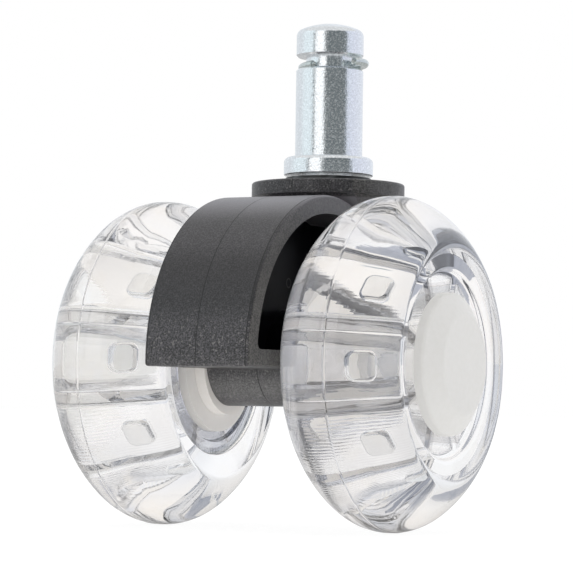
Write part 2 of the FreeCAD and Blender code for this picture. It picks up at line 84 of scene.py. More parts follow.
# Wheel centre: radii, and offsets along the axle from the wheel's middle
BORE = 6.0 * MM
HUB_END = 7.0 * MM
CAP_SOCKET = 7.5 * MM
MOAT_STEP = 14.3 * MM
MOAT_RIM = 14.7 * MM
MOAT_FLOOR = 8.3 * MM
POCKET_COUNT = 8
POCKET_PITCH = 2 * math.pi / POCKET_COUNT
POCKET_INNER = 8.5 * MM
POCKET_OUTER = 14.0 * MM
POCKET_END = 6.8 * MM
POCKET_CORNER = 0.7 * MM
POCKET_STEPS = 16                # faces along a pocket's curved wall
RIB = 1.4 * MM                   # thickness of the ribs between the pockets
KEY_HALF = 2.1 * MM              # keying recess in a pocket's outer wall: half its length around
KEY_LOW, KEY_HIGH = -1.6 * MM, 2.4 * MM
KEY_DEPTH = 0.5 * MM
KEY_CORNER = 1.2 * MM            # rounding of the recess, seen along the radius
WHEEL_TURN = {"left": math.radians(1.75), "right": math.radians(-2.2)}

# Pockets' cover
DISH_RISE = 0.5 * MM
DISH_FLOOR = 12.2 * MM
DISH_RIM = 12.6 * MM

# ---------------------------------------------------------------------------- node graphs


def link(tree, value, socket):
    """Feeds a socket with a value or with another node's socket."""
    if isinstance(value, bpy.types.NodeSocket):
        tree.links.new(value, socket)
    else:
        socket.default_value = value


def node(tree, kind, inputs=None, **settings):
    """Adds a shader node. An input may be a value or another node's socket."""
    made = tree.nodes.new(kind)
    for key, value in settings.items():
        setattr(made, key, value)
    for key, value in (inputs or {}).items():
        link(tree, value, made.inputs[key])
    return made


def maths(tree, operation, first, second=0.0):
    """The result of one arithmetic node."""
    return node(tree, "ShaderNodeMath", {0: first, 1: second}, operation=operation).outputs[0]


def vectors(tree, operation, first, second=(0, 0, 0)):
    """The result of one vector node: a number for a length or a dot product, otherwise a vector."""
    made = node(tree, "ShaderNodeVectorMath", {0: first, 1: second}, operation=operation)
    return made.outputs["Value" if operation in ("LENGTH", "DOT_PRODUCT") else "Vector"]


def product(tree, *values):
    """The product of several values."""
    result = values[0]
    for value in values[1:]:
        result = maths(tree, "MULTIPLY", result, value)
    return result


def smooth_step(tree, value, low, high, to_low=0.0, to_high=1.0):
    """Eases from to_low to to_high as value goes from low to high."""
    made = node(tree, "ShaderNodeMapRange", {0: value, 1: low, 2: high, 3: to_low, 4: to_high},
                interpolation_type="SMOOTHSTEP")
    return made.outputs[0]


def above(tree, value, edge):
    """0 under an edge (low, high), and 1 over it."""
    return smooth_step(tree, value, edge[0], edge[1])


def below(tree, value, edge):
    """1 under an edge (low, high), and 0 over it."""
    return smooth_step(tree, value, edge[0], edge[1], 1.0, 0.0)


def near(tree, value, target, sharp, soft):
    """1 within sharp of the target, and 0 beyond soft."""
    away = maths(tree, "ABSOLUTE", maths(tree, "SUBTRACT", value, target))
    return smooth_step(tree, away, sharp, soft, 1.0, 0.0)


def mix_colour(tree, share, first, second):
    """Mixes two colours."""
    made = node(tree, "ShaderNodeMix", data_type="RGBA")
    for index, value in ((0, share), (6, first), (7, second)):
        link(tree, value, made.inputs[index])
    return made.outputs[2]


def layered(tree, colour, layers):
    """Lays colours over a colour. Each layer is (share, colour)."""
    for share, over in layers:
        colour = mix_colour(tree, share, colour, over)
    return colour


def grey(level):
    return (level, level, level, 1)


def dimmed(colour, *factors):
    """A colour times one factor, or times a factor for each of its channels."""
    if len(factors) == 1:
        factors = factors * 3
    return tuple(channel * factor for channel, factor in zip(colour, factors)) + (1,)


def material(name):
    """An empty node material, its tree and its output node."""
    made = bpy.data.materials.new(name)
    made.use_nodes = True
    made.node_tree.nodes.clear()
    out = made.node_tree.nodes.new("ShaderNodeOutputMaterial")
    return made, made.node_tree, out


def place(tree):
    """The point's place in the part's frame, in metres."""
    return node(tree, "ShaderNodeTexCoord").outputs["Object"]


Spot = namedtuple("Spot", "distance along up across off_middle level")


def locate(tree):
    """The point about the axle: its distance from it, its offsets along X and up, its place across
    the caster, its distance from the caster's middle plane, and its height in the part's frame."""
    axle = middle("axle_pin")
    axes = node(tree, "ShaderNodeSeparateXYZ", {0: place(tree)}).outputs
    along = maths(tree, "SUBTRACT", axes["X"], axle.x)
    up = maths(tree, "SUBTRACT", axes["Z"], axle.z)
    square = maths(tree, "ADD", product(tree, along, along), product(tree, up, up))
    off_middle = maths(tree, "ABSOLUTE", axes["Y"])
    return Spot(maths(tree, "SQRT", square), along, up, axes["Y"], off_middle, axes["Z"])


def noise(tree, size, detail=2.0, roughness=0.5):
    """Noise whose features are about size metres across."""
    spot = vectors(tree, "MULTIPLY", place(tree), (1 / size, 1 / size, 1 / size))
    made = node(tree, "ShaderNodeTexNoise",
                {"Vector": spot, "Scale": 1.0, "Detail": detail, "Roughness": roughness})
    return made.outputs["Fac"]


def bump(tree, height, depth, strength=1.0):
    """A normal from a height that spans depth metres."""
    made = node(tree, "ShaderNodeBump", {"Height": height, "Distance": depth, "Strength": strength})
    return made.outputs["Normal"]


def seen_through(tree):
    """1 for a ray that comes through a clear wheel, and 0 otherwise."""
    return node(tree, "ShaderNodeLightPath").outputs["Is Transmission Ray"]


def principled(name, inputs, build):
    """A Principled material. build(tree) returns further inputs."""
    made, tree, out = material(name)
    shader = node(tree, "ShaderNodeBsdfPrincipled", {**inputs, **build(tree)})
    tree.links.new(shader.outputs[0], out.inputs["Surface"])
    return made


def glass(name, index, roughness, build):
    """A clear solid. build(tree) returns its tint and its normal."""
    made, tree, out = material(name)
    tint, normal = build(tree)
    shader = node(tree, "ShaderNodeBsdfGlass",
                  {"Color": tint, "Roughness": roughness, "IOR": index, "Normal": normal})
    tree.links.new(shader.outputs[0], out.inputs["Surface"])
    return made


# ---------------------------------------------------------------------------- black nylon

# Edges (low, high) that the housing's finishes and its painted light and shade fade across. A side
# well is the hollow in the hood's side.
WELL_WALL = (23.35 * MM, 23.5 * MM)          # distance from the axle
WELL_FACE = (8.6 * MM, 8.9 * MM)             # distance from the middle plane
WELL_END = (-32.5 * MM, -32.2 * MM)          # height
FLANK_FACE = (8.8 * MM, 8.92 * MM)           # distance from the middle plane
DISC_FOOT = (-7.3 * MM, -7.0 * MM)           # height
GRAIN_SHADE_EDGE = (-32.0 * MM, -22.0 * MM)            # height: above it, painted shade flattens the grain and fades its pale specks
TOP_HIGHLIGHT = (-13.0 * MM, -7.8 * MM)              # height: paler above, as a painted highlight
GRAIN = (0.38, 0.66)                         # noise level

SHADE_BELT_LEVEL = -22.5 * MM                      # height of the hood's band of painted shade
BOSS_HIGHLIGHT_LEVEL = -38.0 * MM                     # height of the painted highlight along the axle boss
CORNER_OFFSET = 8.5 * MM                     # parting line beside the flank, from the middle plane
CORNER_RADIUS = 26.4 * MM                    # and from the axle
MARK_OFFSET = Vector((0, 0, 12.7 * MM))      # ejector pin's mark on the web, from the axle
MARK_RADIUS = 0.7 * MM

NYLON_PIT = grey(0.009)
NYLON_PEAK = (0.074, 0.070, 0.076, 1)
# painted shade that flattens the hood's grain above a set height
NYLON_GRAIN_SHADE = (0.034, 0.032, 0.035, 1)
NYLON_SPECK = (0.17, 0.162, 0.155, 1)
# painted highlight on the hood's top
NYLON_TOP_HIGHLIGHT = (0.200, 0.191, 0.208, 1)
# painted highlight on the axle boss
NYLON_BOSS_HIGHLIGHT = (0.180, 0.177, 0.170, 1)
NYLON_BLOTCH = (0.030, 0.029, 0.032, 1)
NYLON_LINE = grey(0.001)
# painted shade inside the side wells
NYLON_WELL_SHADE = (0.004, 0.004, 0.005, 1)
NYLON_MARK = grey(0.05)
FLANK_PIT = (0.026, 0.0245, 0.022, 1)
FLANK_PEAK = (0.120, 0.115, 0.104, 1)
NYLON_GLOW = (0.90, 0.95, 1.10, 1)           # its own light, only where seen through a wheel


def ejector_mark(tree):
    """The ring that an ejector pin leaves on the web."""
    away = vectors(tree, "SUBTRACT", place(tree), middle("axle_pin") + MARK_OFFSET)
    flat = vectors(tree, "MULTIPLY", away, (1, 0, 1))
    return near(tree, vectors(tree, "LENGTH", flat), MARK_RADIUS, 0.06 * MM, 0.14 * MM)


def parting_lines(tree, spot):
    """The mould's parting lines, along the middle and beside the flanks."""
    middle_line = near(tree, spot.across, 0.0, 0.06 * MM, 0.15 * MM)
    corner_line = product(tree, near(tree, spot.off_middle, CORNER_OFFSET, 0.05 * MM, 0.13 * MM),
                          near(tree, spot.distance, CORNER_RADIUS, 0.2 * MM, 0.3 * MM))
    return maths(tree, "MAXIMUM", product(tree, middle_line, 0.7), product(tree, corner_line, 0.8))


def hood_tone(tree, spot, grain):
    """Grained tone of the hood: painted shade at its belt and a painted highlight at its crest."""
    under_disc = below(tree, spot.level, DISC_FOOT)
    # Painted light and shade: above a set height the grain is flattened and its pale specks fade; lower
    # down, where the floor's light falls, the specks stay strong.
    grain_shade = product(tree, above(tree, spot.level, GRAIN_SHADE_EDGE), under_disc)
    specks = product(tree, smooth_step(tree, noise(tree, 0.42 * MM, 1.0), 0.62, 0.70),
                     smooth_step(tree, grain_shade, 0.0, 1.0, 0.65, 0.15))
    tone = layered(tree, NYLON_PIT, [
        (above(tree, grain, GRAIN), NYLON_PEAK),
        (product(tree, grain_shade, 0.3), NYLON_GRAIN_SHADE),
        (specks, NYLON_SPECK),
        # painted highlight on the hood's top
        (product(tree, above(tree, spot.level, TOP_HIGHLIGHT), 0.7, under_disc), NYLON_TOP_HIGHLIGHT),
    ])
    # Painted shade: a darker belt around the hood's middle height.
    belt_shade = product(tree, near(tree, spot.level, SHADE_BELT_LEVEL, 2.5 * MM, 7.0 * MM), 0.85)
    return mix_colour(tree, belt_shade, tone, vectors(tree, "MULTIPLY", tone, (0.45, 0.45, 0.45)))


def boss_highlight(tree, spot, grain):
    """Share of the painted highlight on the axle boss: paler low down, as painted light from the floor,
    and in a band along its middle.
    """
    low = smooth_step(tree, spot.level, -36.0 * MM, -32.5 * MM, 0.12, 0.0)
    highlight_band = product(tree, near(tree, spot.level, BOSS_HIGHLIGHT_LEVEL, 0.4 * MM, 2.6 * MM), 0.3)
    return product(tree, maths(tree, "ADD", low, highlight_band), smooth_step(tree, grain, 0.3, 0.6, 0.5, 1.0))


def nylon_colour(tree, spot, grain, lines, in_well):
    """Colour of the housing, zone by zone, with its painted light and shade."""
    # The side faces take a paler, warmer grained tone; its share grows lower down as painted light from
    # the floor.
    flank = product(tree, above(tree, spot.off_middle, FLANK_FACE),
                    smooth_step(tree, spot.level, -33.0 * MM, -22.0 * MM, 0.9, 0.5))
    flank_tone = mix_colour(tree, smooth_step(tree, grain, 0.38, 0.62), FLANK_PIT, FLANK_PEAK)
    return layered(tree, hood_tone(tree, spot, grain), [
        (boss_highlight(tree, spot, grain), NYLON_BOSS_HIGHLIGHT),
        (flank, flank_tone),
        (product(tree, noise(tree, 6.0 * MM), 0.25), NYLON_BLOTCH),
        (lines, NYLON_LINE),
        (in_well, NYLON_WELL_SHADE),
        (product(tree, ejector_mark(tree), in_well), NYLON_MARK),
    ])


def black_nylon():
    """Spark-eroded black nylon, polished and darkened with painted shade in the side wells, with the
    mould's parting lines.
    """
    def build(tree):
        spot = locate(tree)
        in_well = product(tree, below(tree, spot.distance, WELL_WALL),
                          below(tree, spot.off_middle, WELL_FACE), above(tree, spot.level, WELL_END))
        grain = noise(tree, 0.22 * MM, 2.0, 0.6)
        lines = parting_lines(tree, spot)
        coarse = noise(tree, 0.55 * MM, 1.0)
        height = maths(tree, "ADD", product(tree, grain, 0.5), product(tree, coarse, 0.5))
        height = maths(tree, "SUBTRACT", height, lines)
        glow = product(tree, seen_through(tree), smooth_step(tree, in_well, 0.0, 1.0, 0.36, 0.07))
        return {"Base Color": nylon_colour(tree, spot, grain, lines, in_well),
                "Roughness": smooth_step(tree, in_well, 0.0, 1.0, 0.38, 0.30),
                "Specular IOR Level": smooth_step(tree, in_well, 0.0, 1.0, 0.5, 0.04),
                "Normal": bump(tree, height, 0.05 * MM, smooth_step(tree, in_well, 0.0, 1.0, 0.75, 0.05)),
                "Emission Color": NYLON_GLOW, "Emission Strength": glow}
    return principled("black_nylon_grained", {}, build)


# ---------------------------------------------------------------------- metals and plastics

def zinc_plate(name, colour, roughness, sparkle_depth):
    """Zinc-plated steel, whose fine crystals sparkle; the sparkles also glow a little, as painted glints.
    """
    def build(tree):
        crystals = smooth_step(tree, noise(tree, 0.24 * MM, 2.0, 0.65), 0.40, 0.72)
        rough = smooth_step(tree, noise(tree, 2.0 * MM), 0.3, 0.7, roughness * 0.8, roughness * 1.25)
        mottle = smooth_step(tree, noise(tree, 0.2 * MM), 0.38, 0.62)
        # Painted glints: the plating glows faintly at its sparkles.
        glint_glow = smooth_step(tree, noise(tree, 0.3 * MM, 2.0, 0.6), 0.48, 0.66, 0.0, 0.14)
        return {"Base Color": mix_colour(tree, mottle, colour + (1,), dimmed(colour, 0.90)),
                "Roughness": rough, "Normal": bump(tree, crystals, sparkle_depth),
                "Emission Color": colour + (1,), "Emission Strength": glint_glow}
    return principled(name, {"Metallic": 1.0}, build)


def oiled_steel(name):
    """Dark greased steel with a few bare, bright spots."""
    def build(tree):
        bare = smooth_step(tree, noise(tree, 5.0 * MM, 1.0), 0.48, 0.64)
        tone = mix_colour(tree, bare, (0.014, 0.015, 0.015, 1), (0.34, 0.36, 0.36, 1))
        return {"Base Color": tone, "Metallic": bare,
                "Normal": bump(tree, noise(tree, 0.3 * MM), 0.004 * MM)}
    return principled(name, {"Roughness": 0.35}, build)


def milky_plastic(name, colour, roughness, scatter, glow, inner_glow):
    """White plastic that lets a little light through.

    glow stands for the light that leaves it again. inner_glow is added where the plastic is seen
    through a clear wheel, because a traced path through many clear faces loses that light."""
    def build(tree):
        mottle = smooth_step(tree, noise(tree, 0.9 * MM), 0.35, 0.65)
        tint = mix_colour(tree, mottle, colour + (1,), dimmed(colour, 0.98, 0.98, 0.975))
        normal = node(tree, "ShaderNodeNewGeometry").outputs["Normal"]
        up = node(tree, "ShaderNodeSeparateXYZ", {0: normal}).outputs["Z"]
        # Painted light: faces that turn up glow more, as if lit from above.
        top_lit_glow = product(tree, smooth_step(tree, up, -1.0, 1.0, 0.75, 1.2), inner_glow)
        strength = maths(tree, "ADD", product(tree, seen_through(tree), top_lit_glow), glow)
        return {"Base Color": tint, "Normal": bump(tree, noise(tree, 0.3 * MM), 0.002 * MM),
                "Emission Color": tint, "Emission Strength": strength}
    return principled(name, {"Roughness": roughness, "Subsurface Weight": scatter,
                             "Subsurface Radius": (1.2 * MM, 1.1 * MM, 1.0 * MM),
                             "Subsurface Scale": 1.0}, build)


def plain_plastic(name, colour, roughness):
    """Smooth moulded plastic with a faint unevenness."""
    def build(tree):
        return {"Normal": bump(tree, noise(tree, 0.8 * MM), 0.01 * MM)}
    return principled(name, {"Base Color": colour, "Roughness": roughness}, build)


# --------------------------------------------------------------------------- clear solids

CROWN_EDGE = (21.0 * MM, 25.5 * MM)          # distance from the axle: the crown is beyond
OUTER_EDGE = (27.5 * MM, 30.0 * MM)          # distance from the middle plane: outer flank beyond
TREAD_COOL = (0.988, 0.993, 0.999, 1)
TREAD_WARM = (0.998, 0.990, 0.978, 1)
TREAD_PALE = (0.996, 0.993, 0.994, 1)
# painted shade on the outer flank
TREAD_SIDE_SHADE = (0.74, 0.755, 0.78, 1)

RIB_EDGE = (RIB / 2 + 0.05 * MM, RIB / 2 + 0.2 * MM)              # distance from a rib's middle
RIB_FOOT = (POCKET_INNER, POCKET_INNER + 1.0 * MM)                # distance from the axle
RIB_HEAD = (POCKET_OUTER - 0.2 * MM, POCKET_OUTER)                # distance from the axle
RECESS_FOOT = (POCKET_OUTER + 0.05 * MM, POCKET_OUTER + 0.3 * MM)
RECESS_HEAD = (POCKET_OUTER + 0.6 * MM, POCKET_OUTER + 0.7 * MM)
RECESS_SIDE = (24.0 * MM, 24.5 * MM)         # distance from the middle plane
INNER_END = (17.5 * MM, 19.5 * MM)           # distance from the middle plane
COVER_END = (14.5 * MM, 15.5 * MM)           # distance from the middle plane
CENTRE_TINT = (0.992, 0.994, 0.996, 1)
# Painted shade: the greyer tints below stand for darker reflections in the ribs, recesses and inner ends.
INNER_END_SHADE = (0.958, 0.960, 0.964, 1)
COVER_SHADE = (0.86, 0.87, 0.895, 1)
RECESS_SHADE = (0.86, 0.865, 0.865, 1)
RIB_SHADE = (0.84, 0.84, 0.845, 1)

RIPPLE = 0.5 * MM                # pitch of the tool ripples on the pockets' outer walls
RIPPLE_WANDER = 6.0              # how far noise shifts them, in radians
RIPPLE_LEVEL = (-6.0 * MM, -2.0 * MM)        # height from the axle: stronger below
RIPPLE_STRONG, RIPPLE_WEAK = 0.5, 0.05


def clear_tread(name, index):
    """Clear solid. The crown is a touch warm, the shoulders a touch cool, the outer flank greyer as
    painted shade.
    """
    def build(tree):
        spot = locate(tree)
        streak = smooth_step(tree, noise(tree, 3.0 * MM), 0.4, 0.6)
        # Painted shade: the outer flank is greyed, most towards the axle.
        outer = product(tree, above(tree, spot.off_middle, OUTER_EDGE),
                        smooth_step(tree, spot.distance, 22.5 * MM, 25.0 * MM, 0.4, 0.0))
        tint = layered(tree, TREAD_COOL, [
            (above(tree, spot.distance, CROWN_EDGE), mix_colour(tree, streak, TREAD_WARM, TREAD_PALE)),
            (outer, TREAD_SIDE_SHADE),
        ])
        return tint, bump(tree, noise(tree, 2.5 * MM, 1.0), 0.007 * MM)
    return glass(name, index, 0.0, build)


def centre_tint_and_shade(tree, spot, angle):
    """Tint of the wheel centre: its ribs, recesses and inner ends are a little greyer, as painted shade
    that stands for darker reflections.
    """
    half = POCKET_PITCH / 2
    from_rib = product(tree, maths(tree, "PINGPONG", maths(tree, "ADD", angle, half), half), spot.distance)
    in_rib = product(tree, below(tree, from_rib, RIB_EDGE), above(tree, spot.distance, RIB_FOOT),
                     below(tree, spot.distance, RIB_HEAD))
    in_recess = product(tree, above(tree, spot.distance, RECESS_FOOT),
                        below(tree, spot.distance, RECESS_HEAD), below(tree, spot.off_middle, RECESS_SIDE))
    return layered(tree, CENTRE_TINT, [
        (below(tree, spot.off_middle, INNER_END), INNER_END_SHADE),
        (below(tree, spot.off_middle, COVER_END), COVER_SHADE),
        (in_recess, RECESS_SHADE),
        (in_rib, RIB_SHADE),
    ])


def tool_ripples(tree, spot, angle):
    """Ripples that the cutter left along the pockets' outer walls."""
    wall = near(tree, spot.distance, POCKET_OUTER, 0.3 * MM, 0.6 * MM)
    wander = product(tree, noise(tree, 3.0 * MM), RIPPLE_WANDER)
    phase = maths(tree, "ADD", product(tree, angle, 2 * math.pi * POCKET_OUTER / RIPPLE), wander)
    strength = smooth_step(tree, spot.up, *RIPPLE_LEVEL, RIPPLE_STRONG, RIPPLE_WEAK)
    return product(tree, maths(tree, "SINE", phase), strength, wall)


def clear_centre(name, index, turn):
    """Clear solid with ribs, recesses and inner ends greyed as painted shade, and tool ripples along the
    pockets' outer walls.
    """
    def build(tree):
        spot = locate(tree)
        angle = maths(tree, "ADD", maths(tree, "ARCTAN2", spot.up, spot.along), turn)
        soft = product(tree, noise(tree, 2.5 * MM, 1.0), 0.6)
        height = maths(tree, "ADD", tool_ripples(tree, spot, angle), soft)
        return centre_tint_and_shade(tree, spot, angle), bump(tree, height, 0.02 * MM)
    return glass(name, index, 0.03, build)


def bond():
    """Where two clear solids are moulded together, light passes straight on."""
    made, tree, out = material("clear_bond")
    tree.links.new(node(tree, "ShaderNodeBsdfTransparent").outputs[0], out.inputs["Surface"])
    return made


# ------------------------------------------------------------------------------ measuring

def middle(node_name):
    """Middle of a node's box."""
    low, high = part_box(node_name)
    return (low + high) / 2


def half_height(node_name):
    """Radius of a round node about the axle."""
    low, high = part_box(node_name)
    return (high.z - low.z) / 2


def span(node_name, side):
    """Inner and outer end of a node along the axle, from the wheel's middle, outward."""
    centre = middle(side + "_tyre").y
    low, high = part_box(node_name)
    ends = [(low.y - centre) * SIDES[side], (high.y - centre) * SIDES[side]]
    return min(ends), max(ends)


def wheel_frame(side):
    """Local frame of a wheel: origin at its centre, Z outward along the axle."""
    turn = Matrix.Rotation(math.radians(-90 * SIDES[side]), 4, "X")
    spin = Matrix.Rotation(WHEEL_TURN[side], 4, "Y")
    return Matrix.Translation(middle(side + "_tyre")) @ spin @ turn


# -------------------------------------------------------------------------------- outlines

def arc(centre, radius, start, stop, steps=ARC_STEPS):
    """Points of an arc, angles in radians from the first axis, without its first point."""
    points = []
    for step in range(1, steps + 1):
        angle = start + (stop - start) * step / steps
        points.append(centre + radius * Vector((math.cos(angle), math.sin(angle))))
    return points


def rounded(corners):
    """Outline points from corners (radius, offset[, rounding[, slot]]), with each corner rounded.

    Returns (points, slots): slots holds the material slot of the face that leaves each point."""
    count = len(corners)
    points = []
    slots = []
    for index, corner in enumerate(corners):
        here = Vector(corner[:2])
        size = corner[2] if len(corner) > 2 else 0
        slot = corner[3] if len(corner) > 3 else CLEAR
        before = Vector(corners[index - 1][:2]) - here
        after = Vector(corners[(index + 1) % count][:2]) - here
        corner_points = round_corner(here, before, after, size) if size else [here]
        points.extend(corner_points)
        slots.extend([slot] * len(corner_points))
    return points, slots


def round_corner(here, before, after, size):
    """Points of the arc of this size that rounds the corner between two directions."""
    before = before.normalized()
    after = after.normalized()
    half = before.angle(after) / 2
    reach = size / math.tan(half)
    centre = here + (before + after).normalized() * size / math.sin(half)
    start = here + before * reach - centre
    turn = -start.angle_signed(here + after * reach - centre)
    points = []
    for step in range(CORNER_STEPS + 1):
        points.append(centre + Matrix.Rotation(turn * step / CORNER_STEPS, 2) @ start)
    return points


def tread_side(radius):
    """The tread from its crown to just short of its outer shoulder, and the shoulder's corner."""
    top = Vector((radius - CROWN_ARC, 0))
    spoke = Vector((math.cos(CROWN_TURN), math.sin(CROWN_TURN)))
    centre = top + (CROWN_ARC - FLANK_ARC) * spoke
    short = FLANK_TURN - SHOULDER / FLANK_ARC
    points = arc(top, CROWN_ARC, 0, CROWN_TURN) + arc(centre, FLANK_ARC, CROWN_TURN, short)
    tip = centre + FLANK_ARC * Vector((math.cos(FLANK_TURN), math.sin(FLANK_TURN)))
    return points, tip


def with_seam(points):
    """Raises a thin seam on the crown, at its offset from the middle."""
    kept = [p for p in points if abs(p.y - SEAM_OFFSET) > 2 * SEAM_HALF]
    index = next(i for i, p in enumerate(kept) if p.y > SEAM_OFFSET)
    low, high = kept[index - 1], kept[index]
    seam = []
    for offset, rise in ((-SEAM_HALF, 0), (0, SEAM_RISE), (SEAM_HALF, 0)):
        share = (SEAM_OFFSET + offset - low.y) / (high.y - low.y)
        seam.append(low.lerp(high, share) + Vector((rise, 0)))
    return kept[:index] + seam + kept[index:]


# ---------------------------------------------------------------------------------- meshes

def lathe(name, outline, materials, segments=SEGMENTS):
    """Turns a closed outline of (radius, offset) points about local Z into a solid."""
    points, slots = outline
    shape = bmesh.new()
    rings = []
    for radius, offset in points:
        ring = []
        for step in range(segments):
            angle = 2 * math.pi * step / segments
            ring.append(shape.verts.new((radius * math.cos(angle), radius * math.sin(angle), offset)))
        rings.append(ring)
    for index, ring in enumerate(rings):
        after = rings[(index + 1) % len(rings)]
        for step in range(segments):
            turn = (step + 1) % segments
            face = shape.faces.new((ring[step], ring[turn], after[turn], after[step]))
            face.material_index = slots[index]
    bmesh.ops.recalc_face_normals(shape, faces=shape.faces)
    return finish_mesh(name, shape, materials)


def finish_mesh(name, shape, materials):
    """An object from a bmesh, smooth except at its sharp edges."""
    mesh = bpy.data.meshes.new(name)
    shape.to_mesh(mesh)
    shape.free()
    for made in materials:
        mesh.materials.append(made)
    smooth(mesh)
    piece = bpy.data.objects.new(name, mesh)
    bpy.context.scene.collection.objects.link(piece)
    return piece


def smooth(mesh):
    """Shades a mesh smooth except at its sharp edges."""
    mesh.shade_smooth()
    mesh.set_sharp_from_angle(angle=SHARP)


def settle(piece, transform, body, node_name):
    """Moves a finished mesh to its place, makes it ride, and lets it stand for its CAD node."""
    piece.data.transform(transform)
    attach(piece, body)
    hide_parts(node_name)
    return piece


# ---------------------------------------------------------------------------------- wheels

def make_tread(side, clear, joined):
    """Clear tread with its crown, flanks, rounded shoulders and mould seam."""
    name = side + "_tyre"
    bond_radius = half_height(side + "_wheel_core")
    lip_radius = half_height(side + "_core_cover") + GAP
    core_in, core_out = span(side + "_wheel_core", side)
    points, tip = tread_side(half_height(name))
    flank = [Vector((p.x, -p.y)) for p in reversed(points)]
    corners = [
        (bond_radius, core_out, 0, JOINED),
        (bond_radius, core_in, 0, JOINED),
        (lip_radius, core_in),
        (lip_radius, -core_out, LIP),
        (tip.x, -tip.y, SHOULDER),
    ]
    corners += [tuple(p) for p in with_seam(flank + points)]
    corners.append((tip.x, tip.y, SHOULDER))
    piece = lathe(side + "_tread", rounded(corners), [clear, joined])
    return settle(piece, wheel_frame(side), side + "_wheel", name)


def prism(outline, low, high):
    """A closed upright prism."""
    shape = bmesh.new()
    base = [shape.verts.new((x, y, low)) for x, y in outline]
    top = [shape.verts.new((x, y, high)) for x, y in outline]
    shape.faces.new(list(reversed(base)))
    shape.faces.new(top)
    for index in range(len(outline)):
        after = (index + 1) % len(outline)
        shape.faces.new((base[index], base[after], top[after], top[index]))
    bmesh.ops.recalc_face_normals(shape, faces=shape.faces)
    return shape


def bevel(shape, edges, size):
    """Rounds edges of a cutter."""
    bmesh.ops.bevel(shape, geom=edges, offset=size, segments=BEVEL_STEPS, profile=0.5, affect="EDGES")


def rises(edge, axis, least):
    """Whether the ends of an edge lie further apart than least along an axis, 0 for X to 2 for Z."""
    return abs(edge.verts[0].co[axis] - edge.verts[1].co[axis]) > least


def pocket_cutter(low, high):
    """Cutter for one pocket, with round corners and a rounded far end."""
    outline = []
    for radius, way in ((POCKET_OUTER, 1), (POCKET_INNER, -1)):
        half = POCKET_PITCH / 2 - math.asin(RIB / 2 / radius)
        for step in range(POCKET_STEPS + 1):
            angle = way * half * (2 * step / POCKET_STEPS - 1)
            outline.append((radius * math.cos(angle), radius * math.sin(angle)))
    shape = prism(outline, low, high)
    corners = [e for e in shape.edges if rises(e, 2, MM) and e.calc_face_angle() > math.radians(45)]
    bevel(shape, corners, POCKET_CORNER)
    far = [e for e in shape.edges if min(v.co.z for v in e.verts) > high - CLOSE]
    bevel(shape, far, POCKET_CORNER / 2)
    return shape


def key_cutter():
    """Cutter for one keying recess in a pocket's outer wall, with soft corners."""
    shape = bmesh.new()
    bmesh.ops.create_cube(shape, size=1)
    outer = POCKET_OUTER + KEY_DEPTH
    inner = POCKET_OUTER - 2 * KEY_DEPTH
    size = Vector((outer - inner, 2 * KEY_HALF, KEY_HIGH - KEY_LOW))
    spot = Vector(((outer + inner) / 2, 0, (KEY_HIGH + KEY_LOW) / 2))
    bmesh.ops.scale(shape, vec=size, verts=shape.verts)
    bmesh.ops.translate(shape, vec=spot, verts=shape.verts)
    corners = [e for e in shape.edges if rises(e, 0, KEY_DEPTH)]
    bevel(shape, corners, KEY_CORNER)
    floor_edges = [e for e in shape.edges if min(v.co.x for v in e.verts) > outer - CLOSE]
    bevel(shape, floor_edges, KEY_DEPTH * 0.9)
    return shape


def ring_of(shape, count):
    """Copies of a cutter around local Z, as one mesh. Uses the cutter up."""
    one = bpy.data.meshes.new("cutter")
    shape.to_mesh(one)
    shape.free()
    whole = bmesh.new()
    for index in range(count):
        turned = one.copy()
        turned.transform(Matrix.Rotation(2 * math.pi * index / count, 4, "Z"))
        whole.from_mesh(turned)
        bpy.data.meshes.remove(turned)
    bpy.data.meshes.remove(one)
    return whole


def in_order(mesh):
    """A copy of a mesh with its points and faces sorted, because a cut leaves them in no fixed order."""
    ranked = sorted(range(len(mesh.vertices)), key=lambda index: tuple(mesh.vertices[index].co))
    rank = {index: spot for spot, index in enumerate(ranked)}
    faces = []
    for face in mesh.polygons:
        corners = [rank[index] for index in face.vertices]
        first = corners.index(min(corners))
        faces.append((corners[first:] + corners[:first], face.material_index))
    faces.sort()
    points = [mesh.vertices[index].co for index in ranked]
    made = bpy.data.meshes.new(mesh.name)
    made.from_pydata(points, [], [corners for corners, slot in faces])
    for face, (corners, slot) in zip(made.polygons, faces):
        face.material_index = slot
    for item in mesh.materials:
        made.materials.append(item)
    return made


def cut(piece, cutter_shape, materials):
    """Cuts a shape out of a piece."""
    cutter = finish_mesh("cutter", cutter_shape, materials)
    step = piece.modifiers.new("cut", "BOOLEAN")
    step.operation = "DIFFERENCE"
    step.solver = "EXACT"
    step.object = cutter
    graph = bpy.context.evaluated_depsgraph_get()
    mesh = bpy.data.meshes.new_from_object(piece.evaluated_get(graph))
    piece.modifiers.clear()
    piece.data = mesh
    bpy.data.objects.remove(cutter)


